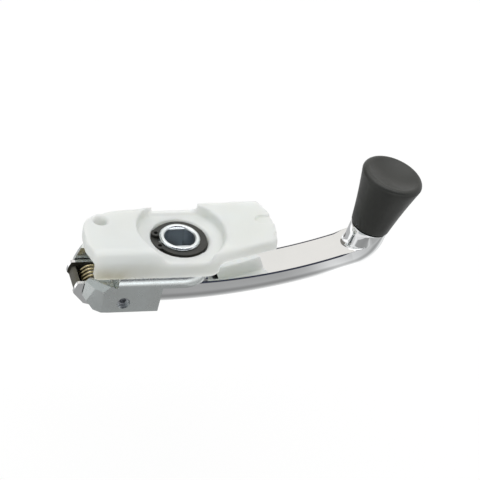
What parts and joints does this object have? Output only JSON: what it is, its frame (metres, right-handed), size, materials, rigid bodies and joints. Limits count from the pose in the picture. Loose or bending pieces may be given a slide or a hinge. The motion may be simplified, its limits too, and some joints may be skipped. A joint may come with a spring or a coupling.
{
  "type": "sunroof crank handle",
  "caption": "Folding crank handle for a sliding roof: moulded bearing housing, hub with a flatted drive socket, hinged chromed arm and tapered spinning knob.",
  "frame": {"origin": "on the drive axis, at the mouth of the drive socket", "axes": "+Z along the drive axis towards the roof; +X from the arm's hinge to the knob with the arm folded; +Y across the housing"},
  "size_m": [0.1081, 0.0254, 0.0485],
  "materials": {
    "nylon": "satin moulded",
    "plated_steel": "turned and zinc plated",
    "black_steel": "black phosphate",
    "cast_zinc": "satin cast zinc",
    "steel": "plain",
    "chrome": "polished chrome plate",
    "gold_wire": "yellow zinc plated wire",
    "black_plastic": "satin moulded"
  },
  "bodies": {
    "housing": {"bearing_housing": "nylon"},
    "carrier": {"hub_sleeve": "plated_steel", "retaining_ring": "black_steel", "thrust_washer": "black_steel", "pivot_bracket": "cast_zinc", "hinge_pin": "steel", "detent_screw": "steel", "detent_nose": "steel"},
    "arm": {"crank_arm": "chrome", "hinge_spring": "gold_wire", "knob_spindle": "steel"},
    "knob": {"knob": "black_plastic"}
  },
  "joints": [
    {"name": "crank_turn", "type": "hinge", "parent": "housing", "child": "carrier", "pos_m": [0, 0, 0], "axis": [0, 0, 1], "continuous": true},
    {"name": "arm_fold", "type": "hinge", "parent": "carrier", "child": "arm", "pos_m": [-0.0258, 0, -0.0169], "axis": [0, 1, 0], "range_deg": [0, 170]},
    {"name": "knob_spin", "type": "hinge", "parent": "arm", "child": "knob", "pos_m": [0.0613, 0, 0.00192], "axis": [0.2079, 0, 0.9781], "continuous": true}
  ]
}
